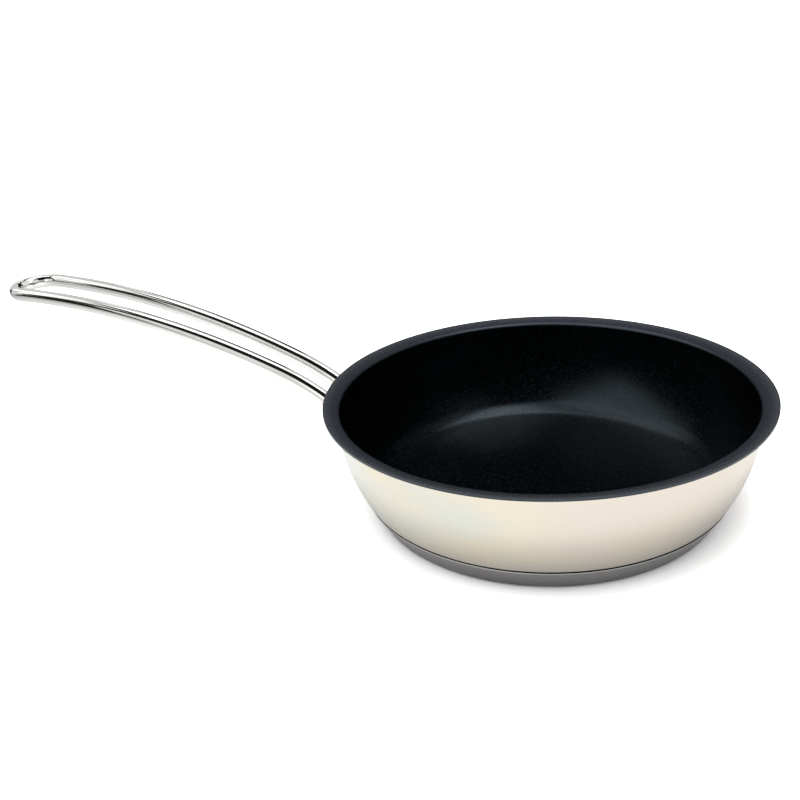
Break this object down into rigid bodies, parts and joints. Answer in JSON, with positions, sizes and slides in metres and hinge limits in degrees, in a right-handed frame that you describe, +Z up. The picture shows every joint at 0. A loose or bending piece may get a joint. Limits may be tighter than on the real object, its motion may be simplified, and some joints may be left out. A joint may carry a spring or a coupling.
{
  "type": "frying pan",
  "caption": "Round steel frying pan with a flared pouring lip, dark speckled non-stick inside, a capsule base and a long looped rod handle.",
  "frame": {"origin": "centre of the underside of the base, on the table", "axes": "+Z up out of the bowl, the handle points along -X, +Y completes the right-handed frame"},
  "size_m": [0.4227, 0.2, 0.0796],
  "materials": {
    "satin_steel": "satin stainless steel with fine rings turned round the axis",
    "speckled_nonstick": "near-black non-stick coating with fine pale grey speckles, satin",
    "braze": "dull brazing alloy",
    "core_aluminium": "plain pressed aluminium",
    "base_steel": "pressed steel, a little duller than the wall, with rings on the underside",
    "polished_rod": "mirror-polished stainless steel rod with fine lengthwise polishing lines",
    "plate_steel": "pressed steel with a fine upright grain",
    "weld_steel": "rippled weld metal with a slight straw tint"
  },
  "bodies": {
    "root": {"pan_shell": "satin_steel", "nonstick_coating": "speckled_nonstick", "upper_braze_layer": "braze", "heat_spreader": "core_aluminium", "lower_braze_layer": "braze", "base_cap": "base_steel", "handle_plate": "plate_steel", "plate_spot_welds": "weld_steel", "handle_rod": "polished_rod", "rod_weld_beads": "weld_steel"}
  },
  "joints": []
}
